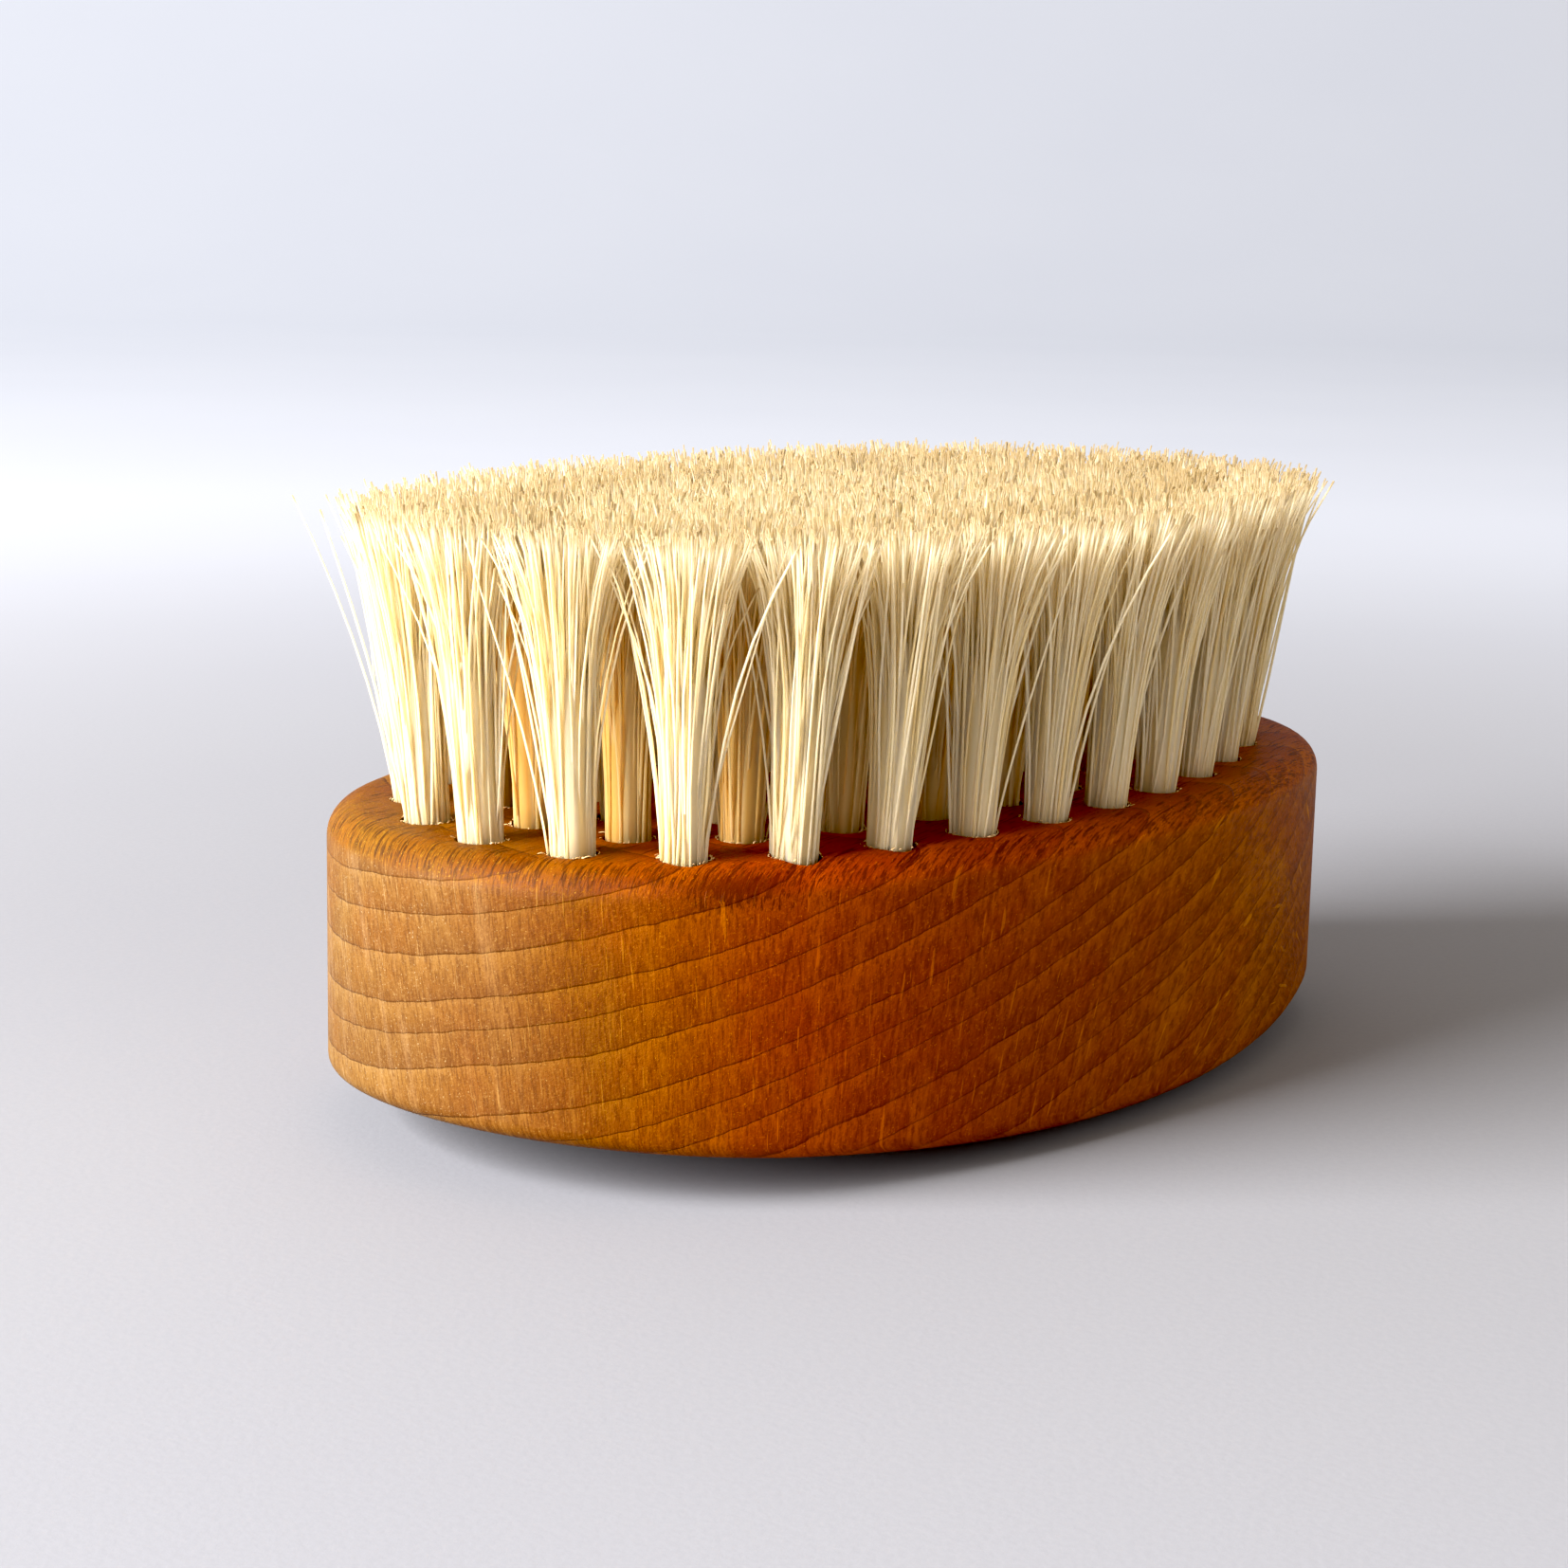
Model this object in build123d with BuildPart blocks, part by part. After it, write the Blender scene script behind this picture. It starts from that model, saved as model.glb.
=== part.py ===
from build123d import *
import math
import os

# Palm-held bee brush: one oval beech block with bristle tufts set in drilled holes.
# Every tuft is folded round a flat wire anchor that bites into the wood on both
# sides of its hole.
#
# Frame: +Z up, brush lying on its back with the bristles up. The origin is on the
# resting surface, under the middle of the block, and the block is longest along X.

# ---- driving dimensions, mm ----

block_length = 118.4
block_width = 72.0
block_height = 29.4
end_radius = 30.0  # rounded ends of the four-centre oval
top_fillet = 3.0  # rim around the bristle face
back_fillet = 1.6  # rim around the domed back

crown_radius = 290.0  # dome of the back
crown_cut = 0.4  # depth of the flat worn on the dome's highest point

tuft_diameter = 4.4
hole_depth = 14.0
trim_height = 27.4  # bristle length above the wood
tuft_top_diameter = 8.3
collar_height = 0.5  # straight stretch of the tuft just above its hole

anchor_length = 5.0  # longer than the hole is wide, so that both ends bite
anchor_height = 1.6
anchor_thickness = 0.4
anchor_lift = 2.2  # wood floor of the hole to the lower edge of the anchor

# Oval rows of tufts: inset from the block's edge, number of tufts, start along the
# row as a share of one pitch, and outward lean in degrees.
outer_row = (5.9, 28, 0.66, 6.0)
second_row = (13.6, 22, 0.60, 4.0)
third_row = (21.4, 17, 0.5, 2.0)
field_turn = 5.0  # degrees that the whole field is turned on the block, seen from above

# Middle of the field: tufts along X, in pairs beside the centre line where there is
# room, and single on the line towards the ends.
centre_pitch = 9.3
centre_reach = 3  # tufts on each side of the middle
centre_pair_reach = 1  # of these, how many on each side are pairs
centre_pair_spacing = 9.2

# ---- derived sizes ----

half_length = block_length / 2
half_width = block_width / 2
end_centre = half_length - end_radius

# The side arc's radius follows from tangency with the end arcs.
side_radius = (end_centre**2 + half_width**2 - end_radius**2) / (2 * (half_width - end_radius))
side_centre = side_radius - half_width
join_angle = math.atan2(side_centre, end_centre)

hole_radius = tuft_diameter / 2
trim_level = block_height + trim_height


def oval_point(inset, distance):
    """Place and outward direction, at a distance along an oval inside the block's edge."""
    end_run = (end_radius - inset) * join_angle
    quarter = end_run + (side_radius - inset) * (math.pi / 2 - join_angle)
    index, along = divmod(distance % (4 * quarter), quarter)
    if index % 2:
        along = quarter - along
    if along <= end_run:
        angle = along / (end_radius - inset)
        x = end_centre + (end_radius - inset) * math.cos(angle)
        y = (end_radius - inset) * math.sin(angle)
    else:
        angle = join_angle + (along - end_run) / (side_radius - inset)
        x = (side_radius - inset) * math.cos(angle)
        y = (side_radius - inset) * math.sin(angle) - side_centre
    side_x = 1 if index in (0, 3) else -1
    side_y = 1 if index < 2 else -1
    return side_x * x, side_y * y, side_x * math.cos(angle), side_y * math.sin(angle)


def oval_length(inset):
    """Length round an oval inside the block's edge."""
    end_run = (end_radius - inset) * join_angle
    return 4 * (end_run + (side_radius - inset) * (math.pi / 2 - join_angle))


def turned(x, y):
    """A place or direction in the field of tufts, as it lies on the block."""
    turn = math.radians(field_turn)
    return x * math.cos(turn) - y * math.sin(turn), x * math.sin(turn) + y * math.cos(turn)


def tuft_plane(x, y, out_x, out_y, lean):
    """Plane on the bristle face, with its normal along the tuft and X along the row."""
    x, y = turned(x, y)
    out_x, out_y = turned(out_x, out_y)
    tilt = math.radians(lean)
    axis = (out_x * math.sin(tilt), out_y * math.sin(tilt), math.cos(tilt))
    return Plane(origin=(x, y, block_height), x_dir=(-out_y, out_x, 0), z_dir=axis)


def oval_row(inset, count, start, lean):
    """Tuft planes evenly spaced round one oval row."""
    pitch = oval_length(inset) / count
    points = [oval_point(inset, (number + start) * pitch) for number in range(count)]
    return [tuft_plane(*point, lean) for point in points]


def centre_group():
    """Upright tuft planes along the middle of the field."""
    planes = []
    for number in range(-centre_reach, centre_reach + 1):
        paired = abs(number) <= centre_pair_reach
        for side in (-1, 1) if paired else (0,):
            y = side * centre_pair_spacing / 2
            planes.append(tuft_plane(number * centre_pitch, y, 0, 1, 0))
    return planes


outer_planes = oval_row(*outer_row)
second_planes = oval_row(*second_row)
third_planes = oval_row(*third_row)
centre_planes = centre_group()
all_planes = outer_planes + second_planes + third_planes + centre_planes


def anchor_planes(planes):
    """Planes at the lower edge of each tuft's anchor."""
    return [plane.offset(anchor_lift - hole_depth) for plane in planes]


def make_tufts(planes):
    """Tufts as closed solids: straight in the hole, flaring to the flat trimmed top."""
    run_out = trim_height * 1.1  # past the trim level on a leaning tuft
    flare = (tuft_top_diameter - tuft_diameter) / 2 * (run_out / trim_height)
    with BuildPart() as tufts:
        for plane in planes:
            with BuildSketch(Plane(origin=plane.origin, x_dir=plane.x_dir, z_dir=-plane.y_dir)):
                with BuildLine():
                    Polyline(
                        (0, -hole_depth),
                        (hole_radius, -hole_depth),
                        (hole_radius, collar_height),
                        (hole_radius + flare, run_out),
                        (0, run_out),
                        close=True,
                    )
                make_face()
            revolve(axis=Axis(plane.origin, plane.z_dir))
        split(bisect_by=Plane.XY.offset(trim_level), keep=Keep.BOTTOM)
        with Locations(*anchor_planes(planes)):
            Box(
                anchor_length,
                anchor_thickness,
                anchor_height,
                align=(Align.CENTER, Align.CENTER, Align.MIN),
                mode=Mode.SUBTRACT,
            )
    return tufts.part


def make_anchors(planes):
    """Flat wire anchors, one across each hole."""
    with BuildPart() as anchors:
        with Locations(*anchor_planes(planes)):
            Box(
                anchor_length,
                anchor_thickness,
                anchor_height,
                align=(Align.CENTER, Align.CENTER, Align.MIN),
            )
    return anchors.part


# ---- brush block ----

with BuildPart() as brush_block:
    with BuildSketch():
        with BuildLine():
            join = math.degrees(join_angle)
            CenterArc((end_centre, 0), end_radius, -join, 2 * join)
            CenterArc((0, -side_centre), side_radius, join, 180 - 2 * join)
            CenterArc((-end_centre, 0), end_radius, 180 - join, 2 * join)
            CenterArc((0, side_centre), side_radius, 180 + join, 180 - 2 * join)
        make_face()
    extrude(amount=block_height)
    with Locations((0, 0, crown_radius - crown_cut)):
        Sphere(crown_radius, mode=Mode.INTERSECT)
    fillet(brush_block.faces().sort_by(Axis.Z)[-1].edges(), top_fillet)
    domed_back = brush_block.faces().filter_by(GeomType.SPHERE)[0]
    fillet(domed_back.outer_wire().edges(), back_fillet)
    with Locations(*[plane.offset(-hole_depth) for plane in all_planes]):
        Cylinder(
            hole_radius,
            hole_depth + collar_height,
            align=(Align.CENTER, Align.CENTER, Align.MIN),
            mode=Mode.SUBTRACT,
        )
    with Locations(*anchor_planes(all_planes)):
        Box(
            anchor_length,
            anchor_thickness,
            anchor_height,
            align=(Align.CENTER, Align.CENTER, Align.MIN),
            mode=Mode.SUBTRACT,
        )

os.makedirs("parts", exist_ok=True)

brush_block.part.label = "brush_block"
export_step(brush_block.part, "parts/brush_block.step")

# ---- tufts: one node each in the two visible rows, one group each further in ----

for row_name, row_planes in (("outer", outer_planes), ("second", second_planes)):
    for number, plane in enumerate(row_planes, start=1):
        with BuildPart() as tuft:
            add(make_tufts([plane]))
        tuft.part.label = f"tuft_{row_name}_{number:02d}"
        export_step(tuft.part, f"parts/{tuft.part.label}.step")

for row_name, row_planes in (("third", third_planes), ("centre", centre_planes)):
    with BuildPart() as tuft_group:
        add(make_tufts(row_planes))
    tuft_group.part.label = f"tufts_{row_name}"
    export_step(tuft_group.part, f"parts/{tuft_group.part.label}.step")

# ---- anchors: one group for each row ----

rows = {
    "outer": outer_planes,
    "second": second_planes,
    "third": third_planes,
    "centre": centre_planes,
}
for row_name, row_planes in rows.items():
    with BuildPart() as anchor_group:
        add(make_anchors(row_planes))
    anchor_group.part.label = f"anchors_{row_name}"
    export_step(anchor_group.part, f"parts/{anchor_group.part.label}.step")
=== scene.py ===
import math

import bpy
import numpy as np
from mathutils import Matrix, Vector


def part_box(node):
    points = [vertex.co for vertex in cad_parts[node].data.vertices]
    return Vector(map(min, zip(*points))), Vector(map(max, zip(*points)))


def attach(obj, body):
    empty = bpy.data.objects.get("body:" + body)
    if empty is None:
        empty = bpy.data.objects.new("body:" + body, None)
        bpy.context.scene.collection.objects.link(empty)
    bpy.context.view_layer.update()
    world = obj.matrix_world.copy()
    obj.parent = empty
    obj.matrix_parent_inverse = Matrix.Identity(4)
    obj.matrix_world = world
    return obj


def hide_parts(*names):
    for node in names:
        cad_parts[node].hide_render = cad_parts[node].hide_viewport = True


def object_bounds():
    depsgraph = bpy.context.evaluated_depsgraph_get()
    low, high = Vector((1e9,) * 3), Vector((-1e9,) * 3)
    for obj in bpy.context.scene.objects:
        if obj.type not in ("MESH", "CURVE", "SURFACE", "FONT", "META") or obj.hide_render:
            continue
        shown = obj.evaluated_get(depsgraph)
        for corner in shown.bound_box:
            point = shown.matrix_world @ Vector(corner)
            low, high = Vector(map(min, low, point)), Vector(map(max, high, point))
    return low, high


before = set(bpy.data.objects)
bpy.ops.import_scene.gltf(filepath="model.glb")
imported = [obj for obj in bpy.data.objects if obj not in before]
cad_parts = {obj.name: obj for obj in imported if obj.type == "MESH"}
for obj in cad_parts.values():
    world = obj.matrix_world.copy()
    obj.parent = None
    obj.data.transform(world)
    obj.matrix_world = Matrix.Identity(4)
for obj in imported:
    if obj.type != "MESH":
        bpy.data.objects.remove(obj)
cad_low, cad_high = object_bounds()

MM = 0.001
BODY = "root"

# ---- what the frame says ----

BLOCK_LOW, BLOCK_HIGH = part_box("brush_block")
WOOD_TOP = BLOCK_HIGH.z
TRIM_TOP = cad_high.z

TUFT_NODES = sorted(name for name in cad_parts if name.startswith("tuft"))
ANCHOR_NODES = sorted(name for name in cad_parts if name.startswith("anchors"))

# ---- camera: where the viewer stands, seen from a point on the block's top ----

CAMERA_AZIMUTH = math.radians(-50.08)
CAMERA_ELEVATION = math.radians(10.70)
CAMERA_ROLL = math.radians(1.19)
CAMERA_DISTANCE = 295.4 * MM
CAMERA_AIM = Vector((-14.8 * MM, -3.0 * MM, WOOD_TOP))
CAMERA_LENS = 71.83
CAMERA_SENSOR = 36.0


def make_camera():
    """A camera a little above the bristles, looking at one end and one long side."""
    data = bpy.data.cameras.new("camera")
    data.lens = CAMERA_LENS
    data.sensor_width = CAMERA_SENSOR
    data.clip_start = 0.01
    data.clip_end = 20.0
    camera = bpy.data.objects.new("camera", data)
    level = math.cos(CAMERA_ELEVATION)
    back = Vector((
        math.sin(CAMERA_AZIMUTH) * level,
        -math.cos(CAMERA_AZIMUTH) * level,
        math.sin(CAMERA_ELEVATION),
    ))
    right = (-back).cross(Vector((0, 0, 1))).normalized()
    up = back.cross(right)
    turned_right = right * math.cos(CAMERA_ROLL) + up * math.sin(CAMERA_ROLL)
    turned_up = up * math.cos(CAMERA_ROLL) - right * math.sin(CAMERA_ROLL)
    axes = Matrix((turned_right, turned_up, back)).transposed().to_4x4()
    camera.matrix_world = Matrix.Translation(CAMERA_AIM + back * CAMERA_DISTANCE) @ axes
    bpy.context.scene.collection.objects.link(camera)
    bpy.context.scene.camera = camera


# Level directions as the camera sees them, used to place the light round the brush.
AWAY = Vector((-math.sin(CAMERA_AZIMUTH), math.cos(CAMERA_AZIMUTH), 0))
RIGHT = Vector((AWAY.y, -AWAY.x, 0))
UP = Vector((0, 0, 1))

# ---- node helpers ----


class Nodes:
    """A material's node tree, with one short call for each kind of node used here."""

    def __init__(self, name):
        self.material = bpy.data.materials.new(name)
        self.material.use_nodes = True
        self.tree = self.material.node_tree
        self.tree.nodes.clear()
        self.output = self.add("ShaderNodeOutputMaterial")

    def add(self, kind, **settings):
        node = self.tree.nodes.new(kind)
        for key, value in settings.items():
            setattr(node, key, value)
        return node

    def plug(self, socket, value):
        """Links a socket to another node's output, or sets it to a plain value."""
        if isinstance(value, bpy.types.NodeSocket):
            self.tree.links.new(value, socket)
        else:
            socket.default_value = value

    def math(self, operation, a, b=0.0, c=0.0, clamp=False):
        node = self.add("ShaderNodeMath", operation=operation, use_clamp=clamp)
        for socket, value in zip(node.inputs, (a, b, c)):
            self.plug(socket, value)
        return node.outputs[0]

    def vector(self, operation, a, b=None, scale=None):
        node = self.add("ShaderNodeVectorMath", operation=operation)
        self.plug(node.inputs[0], a)
        if b is not None:
            self.plug(node.inputs[1], b)
        if scale is not None:
            self.plug(node.inputs["Scale"], scale)
        scalar = operation in ("DOT_PRODUCT", "LENGTH", "DISTANCE")
        return node.outputs["Value" if scalar else "Vector"]

    def combine(self, x, y, z):
        node = self.add("ShaderNodeCombineXYZ")
        for socket, value in zip(node.inputs, (x, y, z)):
            self.plug(socket, value)
        return node.outputs[0]

    def noise(self, vector, scale=1.0, detail=2.0, roughness=0.5):
        node = self.add("ShaderNodeTexNoise")
        self.plug(node.inputs["Vector"], vector)
        node.inputs["Scale"].default_value = scale
        node.inputs["Detail"].default_value = detail
        node.inputs["Roughness"].default_value = roughness
        return node.outputs["Fac"]

    def band(self, value, low, high, out_low=0.0, out_high=1.0):
        """value taken smoothly from the range low to high into out_low to out_high."""
        node = self.add("ShaderNodeMapRange", interpolation_type="SMOOTHSTEP")
        for key, number in (
            ("Value", value),
            ("From Min", low),
            ("From Max", high),
            ("To Min", out_low),
            ("To Max", out_high),
        ):
            self.plug(node.inputs[key], number)
        return node.outputs["Result"]

    def ramp(self, value, stops):
        """A colour ramp. Each stop is a position and a colour."""
        node = self.add("ShaderNodeValToRGB")
        self.plug(node.inputs["Fac"], value)
        elements = node.color_ramp.elements
        while len(elements) < len(stops):
            elements.new(0.5)
        for element, (position, colour) in zip(elements, stops):
            element.position = position
            element.color = (*colour, 1)
        return node.outputs["Color"]

    def mix(self, factor, a, b, blend="MIX"):
        node = self.add("ShaderNodeMix", data_type="RGBA", blend_type=blend)
        node.clamp_factor = True
        for index, value in ((0, factor), (6, a), (7, b)):
            colour = isinstance(value, tuple) and len(value) == 3
            self.plug(node.inputs[index], (*value, 1) if colour else value)
        return node.outputs[2]

    def bump(self, height, depth, strength=1.0, normal=None):
        """Surface relief. depth is the height of a step from 0 to 1, in metres."""
        node = self.add("ShaderNodeBump")
        node.inputs["Strength"].default_value = strength
        node.inputs["Distance"].default_value = depth
        self.plug(node.inputs["Height"], height)
        if normal is not None:
            self.plug(node.inputs["Normal"], normal)
        return node.outputs["Normal"]

    def principled(self, colour, roughness, normal=None, **constants):
        shader = self.add("ShaderNodeBsdfPrincipled")
        self.plug(shader.inputs["Base Color"], colour)
        self.plug(shader.inputs["Roughness"], roughness)
        if normal is not None:
            self.plug(shader.inputs["Normal"], normal)
        for key, value in constants.items():
            shader.inputs[key.replace("_", " ")].default_value = value
        return shader

    def finished(self, shader):
        """The material, with this shader on its surface."""
        self.plug(self.output.inputs["Surface"], shader.outputs[0])
        return self.material


# ---- beech ----

# The trunk that the block was sawn from: a point on its pith and its direction, in mm.
PITH_POINT = Vector((38.7, -12.0, -88.9))
PITH_AXIS = Vector((0.915, 0.161, 0.370)).normalized()
PITH_SIDE = PITH_AXIS.cross(UP).normalized()
PITH_RISE = PITH_SIDE.cross(PITH_AXIS)
RING_PITCH = 3.1
MEAN_RADIUS = 130.0  # of the rings in the block, which turns angles into lengths

# A dark patch in the wood under the rim of the bristle face: its middle and half sizes, in mm.
STAIN_CENTRE = Vector((-46.0, -24.4, 27.6))
STAIN_SIZE = Vector((7.6, 6.4, 1.7))

# Painted light and shade along the block, laid on a shift from golden to red wood: the way in which
# the wood turns from golden at the lit end to red on the shaded side, where along it that starts and
# how far it goes on, and how far noise shifts it, in mm.
HEART_AND_LIGHT_DIRECTION = (1.0, -0.6, 0.0)
HEART_AND_LIGHT_START = -74.0
HEART_AND_LIGHT_LENGTH = 119.0
HEART_AND_LIGHT_DRIFT = 16.0


def grain_space(nodes):
    """Places a point in the trunk, in mm.

    Returns the place on the brush, the distances round the pith, from it and along it, and
    how squarely the surface faces away from the pith.
    """
    place = nodes.add("ShaderNodeTexCoord").outputs["Object"]
    place = nodes.vector("SCALE", place, scale=1 / MM)
    from_pith = nodes.vector("SUBTRACT", place, tuple(PITH_POINT))
    side = nodes.vector("DOT_PRODUCT", from_pith, tuple(PITH_SIDE))
    rise = nodes.vector("DOT_PRODUCT", from_pith, tuple(PITH_RISE))
    along = nodes.vector("DOT_PRODUCT", from_pith, tuple(PITH_AXIS))
    outward = nodes.combine(side, rise, 0.0)
    radius = nodes.vector("LENGTH", outward)
    around = nodes.math("MULTIPLY", nodes.math("ARCTAN2", side, rise), MEAN_RADIUS)
    normal = nodes.add("ShaderNodeNewGeometry").outputs["Normal"]
    normal_side = nodes.vector("DOT_PRODUCT", normal, tuple(PITH_SIDE))
    normal_rise = nodes.vector("DOT_PRODUCT", normal, tuple(PITH_RISE))
    facing = nodes.vector("DOT_PRODUCT", nodes.combine(normal_side, normal_rise, 0.0), outward)
    facing = nodes.math("ABSOLUTE", nodes.math("DIVIDE", facing, radius))
    return place, around, radius, along, facing


def grain_noise(nodes, grain, scales, detail, roughness=0.5):
    """Noise with its own scale round the pith, from it and along it, in features per mm."""
    scaled = [nodes.math("MULTIPLY", part, scale) for part, scale in zip(grain, scales)]
    return nodes.noise(nodes.combine(*scaled), 1.0, detail, roughness)


def beech_rings(nodes, place, grain):
    """Growth rings of uneven width: the colour, and how near a point is to a ring's line."""
    slow = nodes.noise(place, scale=0.035, detail=2.0)
    fine = grain_noise(nodes, grain, (0.5, 0.1, 0.5), 3.0)
    bent = nodes.math("MULTIPLY_ADD", slow, 2.4, grain[1])
    bent = nodes.math("MULTIPLY_ADD", fine, 0.45, bent)
    uneven = nodes.noise(nodes.combine(nodes.math("MULTIPLY", grain[1], 0.16), 0.0, 7.3), 1.0, 1.0)
    ring = nodes.math("MULTIPLY_ADD", uneven, 1.5, nodes.math("DIVIDE", bent, RING_PITCH))
    phase = nodes.math("FRACT", ring)
    wood = nodes.ramp(phase, (
        (0.00, (0.095, 0.027, 0.003)),
        (0.03, (0.140, 0.042, 0.005)),
        (0.09, (0.175, 0.056, 0.006)),
        (0.40, (0.215, 0.073, 0.008)),
        (0.80, (0.270, 0.102, 0.014)),
        (1.00, (0.315, 0.130, 0.024)),
    ))
    line = nodes.band(phase, 0.0, 0.05, 1.0, 0.0)
    year = nodes.noise(nodes.combine(nodes.math("FLOOR", ring), 3.7, 0.0), 0.83, 0.0)
    wood = nodes.mix(nodes.band(year, 0.3, 0.7, 0.0, 0.45), wood, (0.175, 0.060, 0.009))
    return wood, line


def beech_rays(nodes, wood, grain, facing):
    """Rays: thin sheets that hold the pith, pale lines on end grain, dark slivers on flat grain."""
    ray = grain_noise(nodes, grain, (4.6, 0.17, 0.22), 1.0, 0.4)
    short_ray = grain_noise(nodes, grain, (4.2, 0.35, 0.30), 1.0, 0.4)
    hair = grain_noise(nodes, grain, (5.2, 0.60, 0.6), 3.0, 0.68)
    ribbon = grain_noise(nodes, grain, (0.55, 0.04, 0.10), 2.0)
    pale = nodes.band(ray, 0.700, 0.740)
    end_wood = nodes.mix(nodes.band(ribbon, 0.50, 0.75, 0.0, 0.40), wood, (0.37, 0.175, 0.055))
    end_wood = nodes.mix(nodes.band(hair, 0.47, 0.64, 0.0, 0.66), end_wood, (0.115, 0.032, 0.003))
    end_wood = nodes.mix(nodes.band(hair, 0.46, 0.32, 0.0, 0.34), end_wood, (0.40, 0.180, 0.038))
    end_wood = nodes.mix(nodes.math("MULTIPLY", pale, 0.50), end_wood, (0.50, 0.250, 0.070))
    dark = nodes.band(short_ray, 0.575, 0.65, 0.0, 0.80)
    flat_wood = nodes.mix(nodes.band(hair, 0.45, 0.70, 0.0, 0.40), wood, (0.150, 0.046, 0.005))
    flat_wood = nodes.mix(dark, flat_wood, (0.055, 0.015, 0.002))
    return nodes.mix(nodes.band(facing, 0.55, 0.85), end_wood, flat_wood), hair, pale


def beech_pores(nodes, wood, place, grain):
    """Pores drawn out along the grain, and tiny pale specks."""
    pore = grain_noise(nodes, grain, (4.5, 4.5, 0.8), 3.0, 0.7)
    wood = nodes.mix(nodes.band(pore, 0.55, 0.72, 0.0, 0.55), wood, (0.40, 0.195, 0.050))
    wood = nodes.mix(nodes.band(pore, 0.45, 0.28, 0.0, 0.60), wood, (0.110, 0.031, 0.003))
    speck = nodes.noise(place, scale=5.5, detail=1.0)
    wood = nodes.mix(nodes.band(speck, 0.70, 0.76, 0.0, 0.65), wood, (0.52, 0.31, 0.12))
    return wood, pore


def beech_stain(nodes, wood, place, hair):
    """The dark patch, broken up by the grain."""
    from_stain = nodes.vector("SUBTRACT", place, tuple(STAIN_CENTRE))
    from_stain = nodes.vector("DIVIDE", from_stain, tuple(STAIN_SIZE))
    stain = nodes.math("MULTIPLY_ADD", hair, 5.0, nodes.vector("LENGTH", from_stain))
    return nodes.mix(nodes.band(stain, 3.40, 2.80, 0.0, 0.80), wood, (0.050, 0.010, 0.002))


def beech_rim(nodes, wood, hair):
    """The bristle face and its rim: painted light makes them a stronger orange, as they look where
    lit, with short dark cracks on the fillet.
    """
    tilt = nodes.add("ShaderNodeSeparateXYZ")
    nodes.plug(tilt.inputs[0], nodes.add("ShaderNodeNewGeometry").outputs["Normal"])
    upward = tilt.outputs[2]
    # Painted light: faces that look up, the bristle face and the top of the fillet, are tinted a
    # stronger orange with much less blue.
    rim = nodes.band(upward, 0.08, 0.45)
    wood = nodes.mix(rim, wood, nodes.mix(1.0, wood, (1.12, 0.96, 0.20), blend="MULTIPLY"))
    fillet = nodes.math("MULTIPLY", nodes.band(upward, 0.20, 0.50), nodes.band(upward, 0.99, 0.88))
    crack = nodes.math("MULTIPLY", nodes.band(hair, 0.49, 0.60, 0.0, 0.65), fillet)
    return nodes.mix(crack, wood, (0.060, 0.018, 0.002)), rim


def beech_heart_and_painted_light(nodes, wood, place):
    """Golden to redder wood, set so that it also paints light and shade: paler and golden at the lit
    end, deep red on the shaded long side, and browner again at the far end, where light from behind
    falls.
    """
    drift = nodes.noise(place, scale=0.05, detail=2.0)
    across = nodes.vector("DOT_PRODUCT", place, HEART_AND_LIGHT_DIRECTION)
    across = nodes.math("MULTIPLY_ADD", nodes.math("SUBTRACT", drift, 0.5), HEART_AND_LIGHT_DRIFT, across)
    from_start = nodes.math("SUBTRACT", across, HEART_AND_LIGHT_START)
    heart_and_light = nodes.math("DIVIDE", from_start, HEART_AND_LIGHT_LENGTH, clamp=True)
    # Painted light and shade: each stop is set to how lit or shaded the block is there, on top of
    # the wood's own colour.
    tint = nodes.ramp(heart_and_light, (
        (0.05, (0.66, 0.92, 1.60)),
        (0.24, (0.56, 0.46, 0.06)),
        (0.42, (1.06, 0.43, 0.02)),
        (0.60, (0.90, 0.44, 0.02)),
        (1.00, (1.10, 0.80, 0.01)),
    ))
    return nodes.mix(1.0, wood, tint, blend="MULTIPLY")


def make_beech():
    """Oiled beech: growth rings, rays, pores, a dark patch, short cracks on the rim, and painted
    light and shade: a stronger orange on faces that look up, and a golden-to-red shift along the
    block.
    """
    nodes = Nodes("oiled_beech")
    place, around, radius, along, facing = grain_space(nodes)
    grain = (around, radius, along)
    wood, ring_line = beech_rings(nodes, place, grain)
    blotch = nodes.noise(place, scale=0.11, detail=3.0, roughness=0.6)
    wood = nodes.mix(nodes.band(blotch, 0.40, 0.66, 0.0, 0.55), wood, (0.215, 0.058, 0.004))
    wood, hair, pale_ray = beech_rays(nodes, wood, grain, facing)
    wood, pore = beech_pores(nodes, wood, place, grain)
    wood = beech_stain(nodes, wood, place, hair)
    wood, rim = beech_rim(nodes, wood, hair)
    wood = nodes.mix(nodes.math("MULTIPLY", ring_line, 0.30), wood, (0.055, 0.016, 0.002))
    wood = beech_heart_and_painted_light(nodes, wood, place)

    roughness = nodes.band(pore, 0.3, 0.7, 0.46, 0.62)
    roughness = nodes.math("MULTIPLY_ADD", rim, 0.08, roughness)
    relief = nodes.math("MULTIPLY_ADD", ring_line, -0.9, pore)
    relief = nodes.math("MULTIPLY_ADD", hair, 0.9, relief)
    relief = nodes.math("MULTIPLY_ADD", pale_ray, 0.5, relief)
    bumped = nodes.bump(relief, 0.06 * MM, 0.7)
    return nodes.finished(nodes.principled(wood, roughness, bumped, Specular_IOR_Level=0.10))


# ---- bristle ----

TRANSLUCENT_SHARE = 0.64


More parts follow.
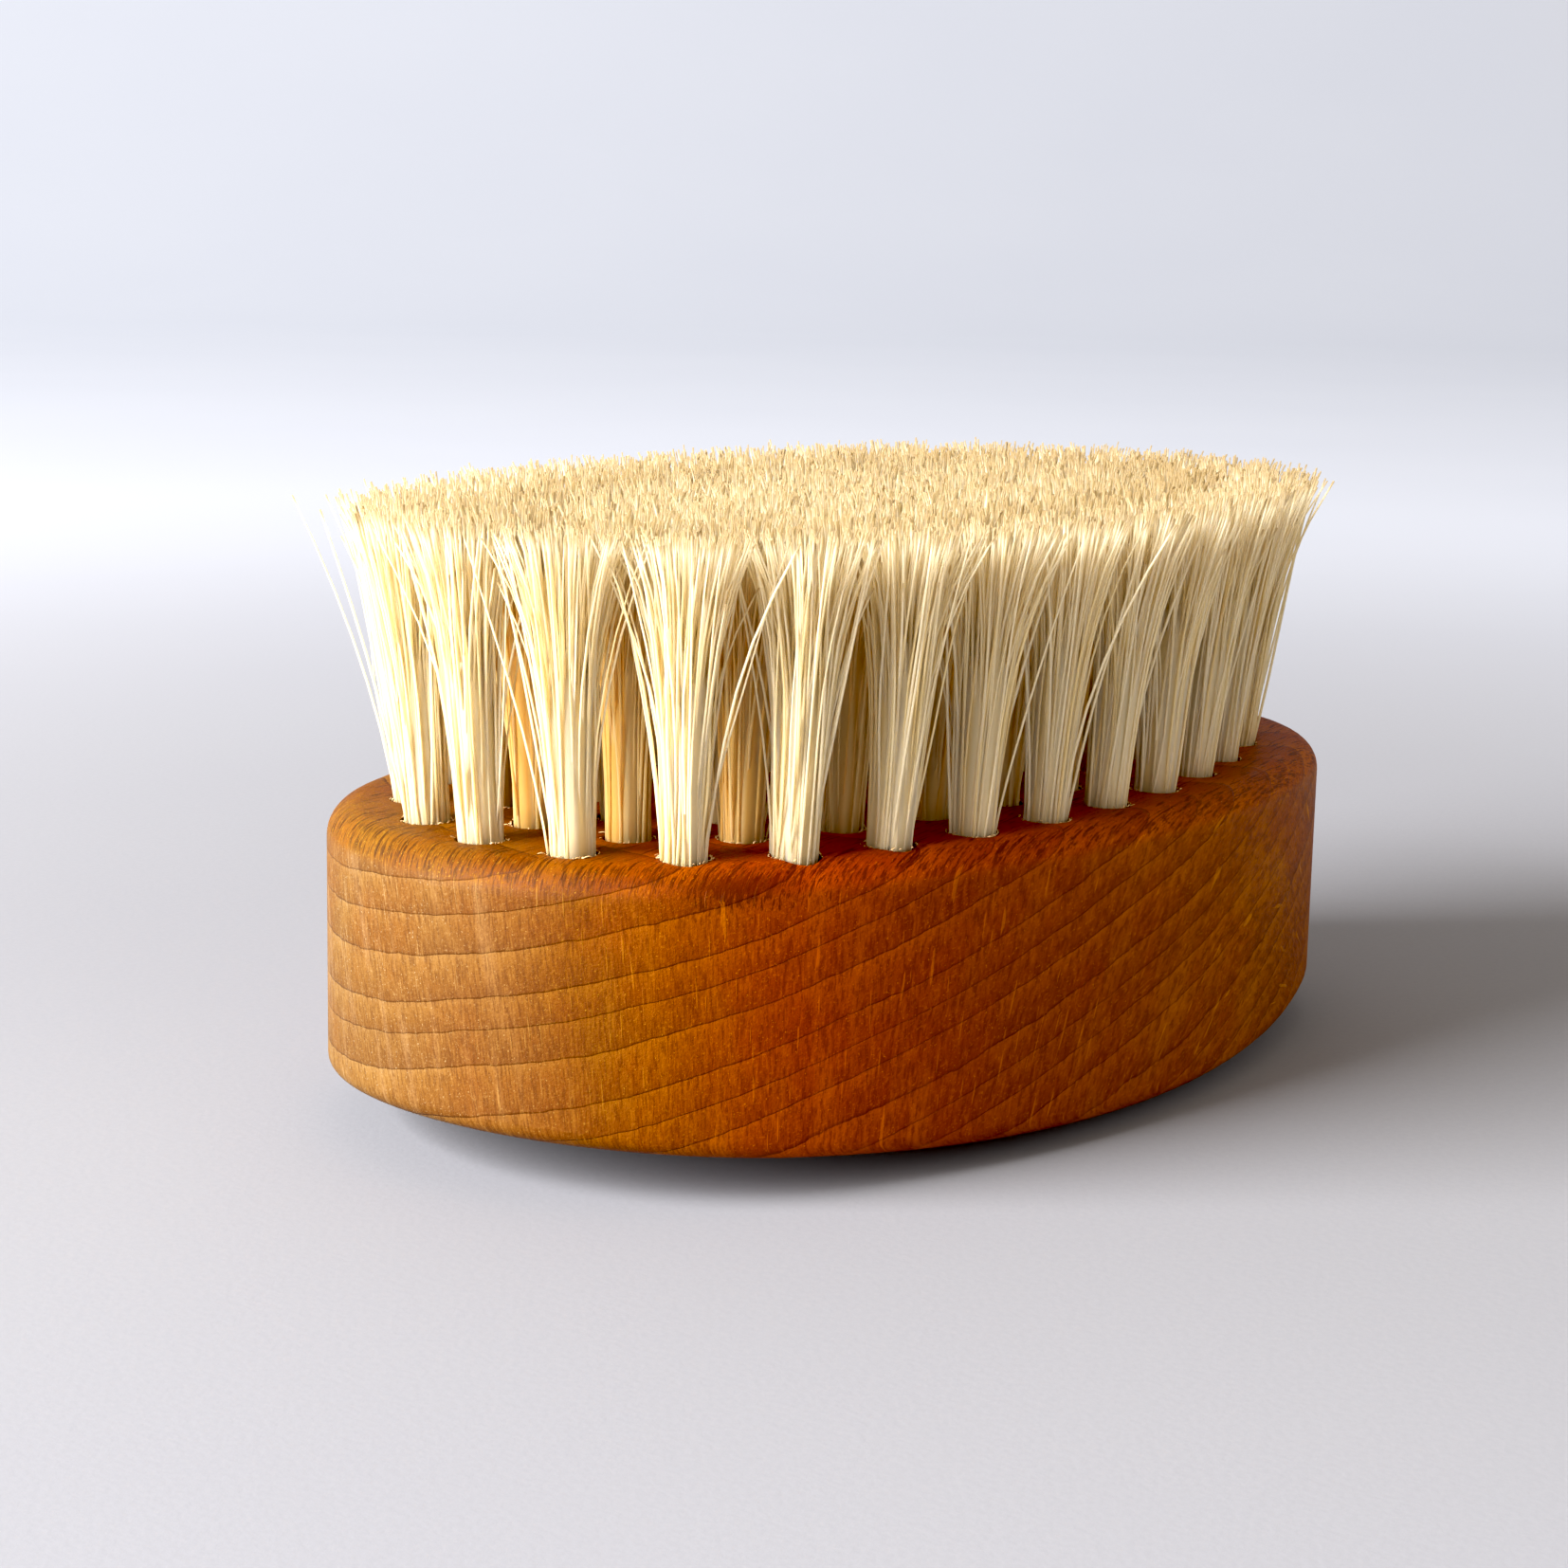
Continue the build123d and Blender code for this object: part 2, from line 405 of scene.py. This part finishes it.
def make_bristle():
    """Natural bristle: cream, each with a tone of its own, paler and drier to the cut tip, and a
    deeper gold towards the foot as painted shade.
    """
    nodes = Nodes("bristle")
    tone = nodes.add("ShaderNodeAttribute", attribute_name="tone").outputs["Fac"]
    along = nodes.add("ShaderNodeAttribute", attribute_name="along").outputs["Fac"]
    place = nodes.add("ShaderNodeTexCoord").outputs["Object"]
    body = nodes.ramp(tone, (
        (0.00, (0.86, 0.50, 0.11)),
        (0.18, (0.94, 0.64, 0.20)),
        (0.42, (0.96, 0.80, 0.45)),
        (0.65, (0.97, 0.90, 0.68)),
        (1.00, (0.99, 0.97, 0.90)),
    ))
    # Painted shade: the bristles turn a deeper gold towards the foot, where light deep in the tuft
    # is soaked up and takes the wood's colour.
    root = nodes.band(along, 0.35, 0.0, 0.0, 0.16)
    body = nodes.mix(root, body, (0.92, 0.66, 0.29))
    tip = nodes.band(along, 0.66, 0.97, 0.0, 0.85)
    dry = nodes.mix(nodes.band(tone, 0.35, 0.75), (0.47, 0.43, 0.37), (0.90, 0.86, 0.77))
    body = nodes.mix(tip, body, dry)
    cut = nodes.band(along, 0.955, 0.995, 0.0, 0.80)
    body = nodes.mix(cut, body, (0.40, 0.28, 0.15))
    streak = nodes.noise(nodes.vector("MULTIPLY", place, (9000.0, 9000.0, 500.0)), 1.0, 2.0)
    body = nodes.mix(nodes.band(streak, 0.35, 0.70, 0.0, 0.15), body, (0.86, 0.70, 0.42))
    roughness = nodes.band(streak, 0.3, 0.7, 0.30, 0.46)
    bumped = nodes.bump(streak, 0.02 * MM, 0.35)
    surface = nodes.principled(body, roughness, bumped, Specular_IOR_Level=0.35)
    glow = nodes.add("ShaderNodeBsdfTranslucent")
    nodes.plug(glow.inputs["Color"], nodes.mix(0.60, body, (1.0, 0.88, 0.54)))
    both = nodes.add("ShaderNodeMixShader")
    both.inputs[0].default_value = TRANSLUCENT_SHARE
    nodes.plug(both.inputs[1], surface.outputs[0])
    nodes.plug(both.inputs[2], glow.outputs[0])
    return nodes.finished(both)


# ---- anchor wire, rim fibres, paper ----


def make_wire():
    """Drawn flat wire: grey steel with lines along it."""
    nodes = Nodes("anchor_wire")
    place = nodes.add("ShaderNodeTexCoord").outputs["Object"]
    lines = nodes.noise(nodes.vector("MULTIPLY", place, (600.0, 600.0, 9000.0)), 1.0, 2.0)
    colour = nodes.ramp(lines, ((0.3, (0.34, 0.34, 0.35)), (0.7, (0.60, 0.60, 0.61))))
    roughness = nodes.band(lines, 0.3, 0.7, 0.25, 0.45)
    bumped = nodes.bump(lines, 0.02 * MM, 0.4)
    return nodes.finished(nodes.principled(colour, roughness, bumped, Metallic=1.0))


def make_fibre():
    """Torn wood fibre round the drilled holes: dry and pale."""
    nodes = Nodes("wood_fibre")
    place = nodes.add("ShaderNodeTexCoord").outputs["Object"]
    fleck = nodes.noise(place, 2500.0, 2.0)
    colour = nodes.ramp(fleck, ((0.3, (0.52, 0.27, 0.09)), (0.7, (0.86, 0.62, 0.33))))
    return nodes.finished(nodes.principled(colour, nodes.band(fleck, 0.3, 0.7, 0.55, 0.8)))


def make_paper():
    """Plain pale paper with a faint tooth, which glows far from the brush like lit walls."""
    nodes = Nodes("paper")
    place = nodes.add("ShaderNodeTexCoord").outputs["Object"]
    tooth = nodes.noise(place, 1400.0, 4.0, 0.6)
    cloud = nodes.noise(place, 6.0, 2.0)
    colour = nodes.ramp(cloud, ((0.3, (0.252, 0.258, 0.292)), (0.7, (0.264, 0.270, 0.302))))
    colour = nodes.mix(nodes.band(tooth, 0.35, 0.65, 0.0, 0.25), colour, (0.232, 0.238, 0.268))
    bumped = nodes.bump(tooth, 0.08 * MM, 0.25)
    shader = nodes.principled(colour, 0.85, bumped, Specular_IOR_Level=0.2)

    far = nodes.band(nodes.vector("LENGTH", place), 0.06, 0.60)
    right = nodes.vector("DOT_PRODUCT", place, tuple(RIGHT))
    away = nodes.vector("DOT_PRODUCT", place, tuple(AWAY))
    front = nodes.band(away, 0.0, -0.8)
    lit = nodes.band(right, -1.2, 1.2, 0.70, 0.42)
    lit = nodes.math("MULTIPLY_ADD", front, 0.45, lit)
    warm = nodes.math("MAXIMUM", front, nodes.band(right, 0.5, 1.0))
    glow = nodes.mix(warm, (0.84, 0.89, 1.0), (1.0, 0.91, 0.78))
    nodes.plug(shader.inputs["Emission Color"], glow)
    nodes.plug(shader.inputs["Emission Strength"], nodes.math("MULTIPLY", far, lit))
    return nodes.finished(shader)


# ---- meshes ----


def make_piece(name, points, faces, material):
    """A mesh object from an array of points and an array of four-sided faces."""
    mesh = bpy.data.meshes.new(name)
    mesh.vertices.add(len(points))
    mesh.vertices.foreach_set("co", np.asarray(points, np.float32).ravel())
    mesh.loops.add(faces.size)
    mesh.loops.foreach_set("vertex_index", faces.astype(np.int32).ravel())
    mesh.polygons.add(len(faces))
    starts = np.arange(len(faces), dtype=np.int32) * faces.shape[1]
    mesh.polygons.foreach_set("loop_start", starts)
    mesh.polygons.foreach_set("use_smooth", np.full(len(faces), True))
    mesh.materials.append(material)
    mesh.update(calc_edges=True)
    mesh.validate()
    piece = bpy.data.objects.new(name, mesh)
    bpy.context.scene.collection.objects.link(piece)
    return piece


def tubes(paths, radii):
    """Closed four-sided tubes along paths.

    paths is an array of tube, point and coordinate; radii of tube and point. Returns the
    points and the faces, with the points of each tube in order along it.
    """
    count, rings, _ = paths.shape
    forward = np.gradient(paths, axis=1)
    forward /= np.linalg.norm(forward, axis=2, keepdims=True)
    reference = np.zeros_like(forward)
    upright = np.abs(forward[:, :1, 2:3]) > 0.7
    reference[..., 0:1] = np.where(upright, 1.0, 0.0)
    reference[..., 2:3] = np.where(upright, 0.0, 1.0)
    side = np.cross(forward, reference)
    side /= np.linalg.norm(side, axis=2, keepdims=True)
    other = np.cross(forward, side)
    corners = []
    for turn in (0, 1, 2, 3):
        angle = turn * math.pi / 2
        direction = side * math.cos(angle) + other * math.sin(angle)
        corners.append(paths + direction * radii[..., None])
    points = np.stack(corners, axis=2).reshape(-1, 3)
    first = np.arange(count * rings).reshape(count, rings) * 4
    faces = []
    for turn in (0, 1, 2, 3):
        following = (turn + 1) % 4
        low, high = first[:, :-1].ravel(), first[:, 1:].ravel()
        faces.append(np.stack([low + turn, low + following, high + following, high + turn], 1))
    start, end = first[:, 0], first[:, -1]
    faces.append(np.stack([start + 3, start + 2, start + 1, start], 1))
    faces.append(np.stack([end, end + 1, end + 2, end + 3], 1))
    return points, np.concatenate(faces)


def solids_of(node):
    """The separate solids of a CAD node, each as an array of its points."""
    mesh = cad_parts[node].data
    points = np.zeros(len(mesh.vertices) * 3)
    mesh.vertices.foreach_get("co", points)
    points = points.reshape(-1, 3)
    edges = np.zeros(len(mesh.edges) * 2, int)
    mesh.edges.foreach_get("vertices", edges)
    merged, index = np.unique(np.round(points, 7), axis=0, return_inverse=True)
    links = index.ravel()[edges.reshape(-1, 2)]
    label = np.arange(len(merged))
    while True:
        lowest = np.minimum(label[links[:, 0]], label[links[:, 1]])
        before = label.copy()
        np.minimum.at(label, links[:, 0], lowest)
        np.minimum.at(label, links[:, 1], lowest)
        label = label[label]
        if np.array_equal(before, label):
            break
    return [merged[label == value] for value in np.unique(label)]


def tuft_axis(points):
    """Foot of a tuft on the wood, its direction and its radius in the hole."""
    low = points[points[:, 2] < points[:, 2].min() + 1.0 * MM]
    high = points[points[:, 2] > points[:, 2].max() - 0.05 * MM]
    bottom, top = low.mean(0), high.mean(0)
    direction = (top - bottom) / np.linalg.norm(top - bottom)
    foot = bottom + direction * (WOOD_TOP - bottom[2]) / direction[2]
    radius = np.linalg.norm(low - bottom, axis=1).max()
    return foot, direction, radius


BRISTLE_RINGS = 8
BRISTLE_RADIUS = (0.115 * MM, 0.175 * MM)
SUNFLOWER = math.pi * (3 - math.sqrt(5))
EDGE_CROWDING = 0.42  # 0.5 spreads a tuft's bristles evenly, less crowds them to its edge
SUNK = 2.2 * MM  # how far the drawn bristles go down into their hole
PACKED_SHARE = 0.87  # of the hole's radius, taken up by the middles of its bristles
STRAY_SHARE = 0.15
SHORT_SHARE = 0.07
LIMP_SHARE = 0.03
LIMP_SAG = 3.2  # how many times further a limp bristle bows
BRISTLE_SEED = 4100


def tuft_sides(direction):
    """Level directions away from the middle of the brush and along the tuft's row."""
    outward = np.array([direction[0], direction[1], 0.0])
    if np.linalg.norm(outward) < 1e-4:
        outward = np.array([0.0, 1.0, 0.0])
    outward /= np.linalg.norm(outward)
    return outward, np.array([-outward[1], outward[0], 0.0])


def bristle_tips(rng, count, across, beside, reach, rise):
    """Where each bristle ends, and which of them are strays.

    Tips lie like the feet (across, beside), but looser. rise is the height of the trim
    above the wood.
    """
    loose = rng.normal(0, 0.17, (2, count))
    stray = rng.random(count) < STRAY_SHARE
    widen = np.where(stray, rng.uniform(1.1, 1.40, count), rng.uniform(0.80, 1.08, count))
    tip_across = (across + loose[0]) * widen * reach[1]
    tip_beside = (beside + loose[1]) * widen * reach[0]
    tip_height = rise + rng.normal(-0.15, 0.28, count) * MM
    short = rng.random(count) < SHORT_SHARE
    tip_height = np.where(short, tip_height - rng.uniform(0.6, 5.0, count) * MM, tip_height)
    return tip_across[:, None], tip_beside[:, None], tip_height[:, None], stray


def bristle_bundle(rng, foot, direction, radius, count, reach, tone_range):
    """Paths, radii and tones of one tuft's bristles.

    reach is how far the outermost tips stand from the tuft's axis: along the row, and
    across it.
    """
    outward, sideways = tuft_sides(direction)
    index = np.arange(count)
    spot = ((index + 0.5) / count) ** EDGE_CROWDING
    turn = index * SUNFLOWER + rng.normal(0, 0.25, count)
    across = spot * np.cos(turn)
    beside = spot * np.sin(turn)
    rise = TRIM_TOP - foot[2]
    tip_across, tip_beside, tip_height, stray = bristle_tips(rng, count, across, beside, reach, rise)

    # From foot to tip: packed and straight at first, then bending away.
    t = np.linspace(0, 1, BRISTLE_RINGS)[None, :]
    bend = rng.uniform(2.4, 4.2, count)[:, None]
    bend = np.where(stray[:, None], rng.uniform(1.4, 2.3, count)[:, None], bend)
    limp = np.where(rng.random(count) < LIMP_SHARE, LIMP_SAG, 1.0)[:, None]
    bow = rng.normal(0, 0.30, (2, count, 1)) * MM * np.sin(math.pi * t) * limp
    phase = rng.uniform(0, 6, (count, 1))
    wave = rng.normal(0, 0.07, (2, count, 1)) * MM * np.sin(2.7 * math.pi * t + phase)
    packed = radius * PACKED_SHARE
    away, slip = t**bend, bow + wave
    offset_across = (across * packed)[:, None] * (1 - away) + tip_across * away + slip[0]
    offset_beside = (beside * packed)[:, None] * (1 - away) + tip_beside * away + slip[1]
    height = t * (tip_height + SUNK) - SUNK
    paths = (
        foot
        + direction * (height / direction[2])[..., None]
        + outward * offset_across[..., None]
        + sideways * offset_beside[..., None]
    )
    thick = rng.uniform(*BRISTLE_RADIUS, count)[:, None]
    radii = thick * (1.0 - 0.32 * t**1.5) / limp**0.4
    palest = tone_range[1]
    tones = tone_range[0] + (palest - tone_range[0]) * rng.beta(2.6, 2.0, count)
    # Painted highlight: strays take the palest tones, for the white shine they catch where they
    # stand out of the tuft.
    tones = np.where(stray, np.maximum(tones, palest * 0.92), tones)
    return paths, radii, tones


CORE_SIDES = 30
CORE_IN_HOLE = 0.88  # its width in the hole, as a share of the hole's
CORE_IN_FAN = 0.70  # its width where the bristles spread, as a share of the tips' reach
# Rings of the core: height as a share of the tuft's, and how narrow it is there.
CORE_RINGS = ((0.0, 1.0), (0.15, 1.0), (0.32, 1.0), (0.46, 0.98), (0.57, 0.86), (0.67, 0.55))


def core_faces():
    """Faces of the core: its sides, and a fan round the middle of each end."""
    row = np.arange(len(CORE_RINGS) - 1)[:, None] * CORE_SIDES
    column = np.arange(CORE_SIDES)[None, :]
    after = (column + 1) % CORE_SIDES
    above = row + CORE_SIDES
    sides = np.stack([row + column, row + after, above + after, above + column], 2)
    even = np.arange(0, CORE_SIDES, 2)
    fan = np.stack([even, even + 1, (even + 2) % CORE_SIDES], 1)
    total = len(CORE_RINGS) * CORE_SIDES
    foot_cap = np.insert(fan[:, ::-1], 0, total, axis=1)
    top_cap = np.insert(fan + total - CORE_SIDES, 0, total + 1, axis=1)
    return np.concatenate([sides.reshape(-1, 4), foot_cap, top_cap])


def bundle_core(rng, foot, direction, radius, reach, tone_range):
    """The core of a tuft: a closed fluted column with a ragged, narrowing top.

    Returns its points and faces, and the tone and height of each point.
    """
    outward, sideways = tuft_sides(direction)
    turn = np.arange(CORE_SIDES) * 2 * math.pi / CORE_SIDES
    flute = 1.0 + rng.uniform(-0.13, 0.05, CORE_SIDES)
    tone = rng.uniform(tone_range[0], tone_range[1], CORE_SIDES)
    rings, heights = [], []
    for t, narrow in CORE_RINGS:
        share = t**2.8
        wide = (radius * CORE_IN_HOLE * (1 - share) + reach[0] * CORE_IN_FAN * share) * narrow
        deep = (radius * CORE_IN_HOLE * (1 - share) + reach[1] * CORE_IN_FAN * share) * narrow
        ragged = flute * (1.0 + rng.uniform(-0.03, 0.03, CORE_SIDES))
        level = t + rng.uniform(-0.05, 0.05, CORE_SIDES) * (1.0 - narrow)
        height = level * (TRIM_TOP - foot[2] + SUNK) - SUNK
        rings.append(
            foot
            + direction * (height / direction[2])[:, None]
            + outward * (deep * ragged * np.cos(turn))[:, None]
            + sideways * (wide * ragged * np.sin(turn))[:, None]
        )
        heights.append(level)
    ends = [rings[0].mean(0)[None], rings[-1].mean(0)[None]]
    points = np.concatenate(rings + ends)
    tones = np.append(np.tile(tone, len(rings)), [tone.mean()] * 2)
    heights = np.append(np.concatenate(heights), [0.0, CORE_RINGS[-1][0]])
    return points, core_faces(), tones, heights


# For each kind of tuft: bristles drawn, reach of the tips in mm, and range of tones. The inner rows'
# darker, more golden tones are painted shade: their bristles are the same as the outer ones and only
# lie deeper in the field.
TUFT_KINDS = {
    "tuft_outer": (160, (5.9, 5.0), (0.45, 1.0)),
    "tuft_second": (130, (5.4, 5.0), (0.05, 0.50)),
    "tufts_third": (130, (5.6, 5.6), (0.30, 0.75)),
    "tufts_centre": (130, (5.6, 5.6), (0.30, 0.75)),
}


def make_tuft_piece(node, number, material):
    """All the bristles that stand for one CAD node of tufts."""
    rng = np.random.default_rng(BRISTLE_SEED + number)
    kind = next(kind for kind in TUFT_KINDS if node.startswith(kind))
    count, reach_mm, tone_range = TUFT_KINDS[kind]
    reach = (reach_mm[0] * MM, reach_mm[1] * MM)
    points, faces, tones, heights = [], [], [], []
    total = 0
    for solid in solids_of(node):
        foot, direction, radius = tuft_axis(solid)
        paths, radii, tone = bristle_bundle(rng, foot, direction, radius, count, reach, tone_range)
        tube_points, tube_faces = tubes(paths, radii)
        tube_tones = np.repeat(tone, BRISTLE_RINGS * 4)
        tube_heights = np.tile(np.repeat(np.linspace(0, 1, BRISTLE_RINGS), 4), count)
        core = bundle_core(rng, foot, direction, radius, reach, tone_range)
        for part in ((tube_points, tube_faces, tube_tones, tube_heights), core):
            points.append(part[0])
            faces.append(part[1] + total)
            tones.append(part[2])
            heights.append(part[3])
            total += len(part[0])
    name = node.replace("tufts_", "bristles_").replace("tuft_", "bristles_")
    piece = make_piece(name, np.concatenate(points), np.concatenate(faces), material)
    set_attribute(piece, "tone", np.concatenate(tones))
    set_attribute(piece, "along", np.concatenate(heights))
    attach(piece, BODY)
    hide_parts(node)


def set_attribute(piece, name, values):
    attribute = piece.data.attributes.new(name, "FLOAT", "POINT")
    attribute.data.foreach_set("value", np.asarray(values, np.float32))


FIBRES_PER_HOLE = 26
FIBRE_SEED = 77


def make_rim_fibres(material):
    """Short torn fibres of wood round the foot of every tuft."""
    rng = np.random.default_rng(FIBRE_SEED)
    count = FIBRES_PER_HOLE
    paths, radii = [], []
    for node in TUFT_NODES:
        for points in solids_of(node):
            foot, _, radius = tuft_axis(points)
            angle = rng.uniform(0, 2 * math.pi, count)
            from_axis = radius * rng.uniform(1.0, 1.10, count)
            length = rng.gamma(2.0, 0.13, count) * MM
            heading = angle + math.pi / 2 + rng.normal(0, 0.6, count)
            start = np.stack([
                foot[0] + from_axis * np.cos(angle),
                foot[1] + from_axis * np.sin(angle),
                np.full(count, WOOD_TOP - 0.02 * MM),
            ], 1)
            lift = rng.uniform(0.02, 0.5, count)
            step = np.stack([np.cos(heading), np.sin(heading), lift], 1) * length[:, None]
            curl = np.stack([np.zeros(count), np.zeros(count), rng.uniform(0, 0.12, count) * MM], 1)
            paths.append(np.stack([start, start + step * 0.5 + curl, start + step], 1))
            thick = rng.uniform(0.03, 0.075, count)[:, None] * MM
            radii.append(thick * np.array([[1.0, 0.9, 0.4]]))
    points, faces = tubes(np.concatenate(paths), np.concatenate(radii))
    piece = make_piece("rim_fibres", points, faces, material)
    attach(piece, BODY)


# ---- stage ----


FLOOR_FLAT = 1.6  # radius of the level part, in metres
FLOOR_CURVE = 0.9  # radius of the sweep from floor to wall
FLOOR_WALL = 1.2  # upright part above the sweep
FLOOR_FLAT_RINGS = 8
FLOOR_CURVE_STEPS = 48
FLOOR_SIDES = 96


def make_floor(material):
    """A wide sheet of paper that curves up far from the brush, all the way round."""
    profile = []
    for ring in range(FLOOR_FLAT_RINGS):
        profile.append((FLOOR_FLAT * (ring / FLOOR_FLAT_RINGS) ** 1.5, 0.0))
    for step in range(FLOOR_CURVE_STEPS + 1):
        angle = step / FLOOR_CURVE_STEPS * math.pi / 2
        out = FLOOR_FLAT + FLOOR_CURVE * math.sin(angle)
        profile.append((out, FLOOR_CURVE * (1 - math.cos(angle))))
    profile.append((FLOOR_FLAT + FLOOR_CURVE, FLOOR_CURVE + FLOOR_WALL))

    # The innermost ring is a pinhole under the brush, so that all faces have four sides.
    radii = np.array([max(out, 1e-4) for out, _ in profile])
    heights = np.array([height for _, height in profile])
    angle = np.arange(FLOOR_SIDES) * 2 * math.pi / FLOOR_SIDES
    points = np.stack([
        radii[:, None] * np.cos(angle),
        radii[:, None] * np.sin(angle),
        np.repeat(heights[:, None], FLOOR_SIDES, 1),
    ], 2).reshape(-1, 3)
    row = np.arange(len(profile) - 1)[:, None] * FLOOR_SIDES
    column = np.arange(FLOOR_SIDES)[None, :]
    after = (column + 1) % FLOOR_SIDES
    above = row + FLOOR_SIDES
    faces = np.stack([row + column, above + column, above + after, row + after], 2)
    piece = make_piece("paper_floor", points, faces.reshape(-1, 4), material)


def make_light(name, place, size, power, colour):
    """A soft rectangular light that faces the brush."""
    data = bpy.data.lights.new(name, "AREA")
    data.shape = "RECTANGLE"
    data.size, data.size_y = size
    data.energy = power
    data.color = colour
    light = bpy.data.objects.new(name, data)
    light.location = place
    toward = Vector((0, 0, WOOD_TOP)) - place
    light.rotation_euler = toward.to_track_quat("-Z", "Y").to_euler()
    bpy.context.scene.collection.objects.link(light)


def make_lights():
    """A large window to the left and a little in front, and weak light from above and all round."""
    window = RIGHT * -0.95 - AWAY * 0.50 + UP * 0.50
    make_light("window", window, (0.80, 0.70), 68.0, (1.0, 0.98, 0.95))
    above = AWAY * 0.55 + UP * 1.30 - RIGHT * 0.10
    make_light("ceiling", above, (1.0, 1.0), 2.0, (1.0, 0.96, 0.90))
    world = bpy.data.worlds.new("room")
    world.use_nodes = True
    background = world.node_tree.nodes["Background"]
    background.inputs["Color"].default_value = (1.0, 0.78, 0.50, 1)
    background.inputs["Strength"].default_value = 0.42
    bpy.context.scene.world = world


def set_view():
    """Plain display colours, with the blacks taken down a little."""
    view = bpy.context.scene.view_settings
    view.view_transform = "Standard"
    view.look = "None"
    view.use_curve_mapping = True
    view.curve_mapping.black_level = (0.014, 0.014, 0.014)
    view.curve_mapping.update()


# ---- build ----

make_camera()
make_lights()
set_view()
make_floor(make_paper())

beech = make_beech()
bristle = make_bristle()
wire = make_wire()

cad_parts["brush_block"].material_slots[0].material = beech
for anchor in ANCHOR_NODES:
    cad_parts[anchor].material_slots[0].material = wire

for tuft_number, tuft_node in enumerate(TUFT_NODES):
    make_tuft_piece(tuft_node, tuft_number, bristle)
make_rim_fibres(make_fibre())
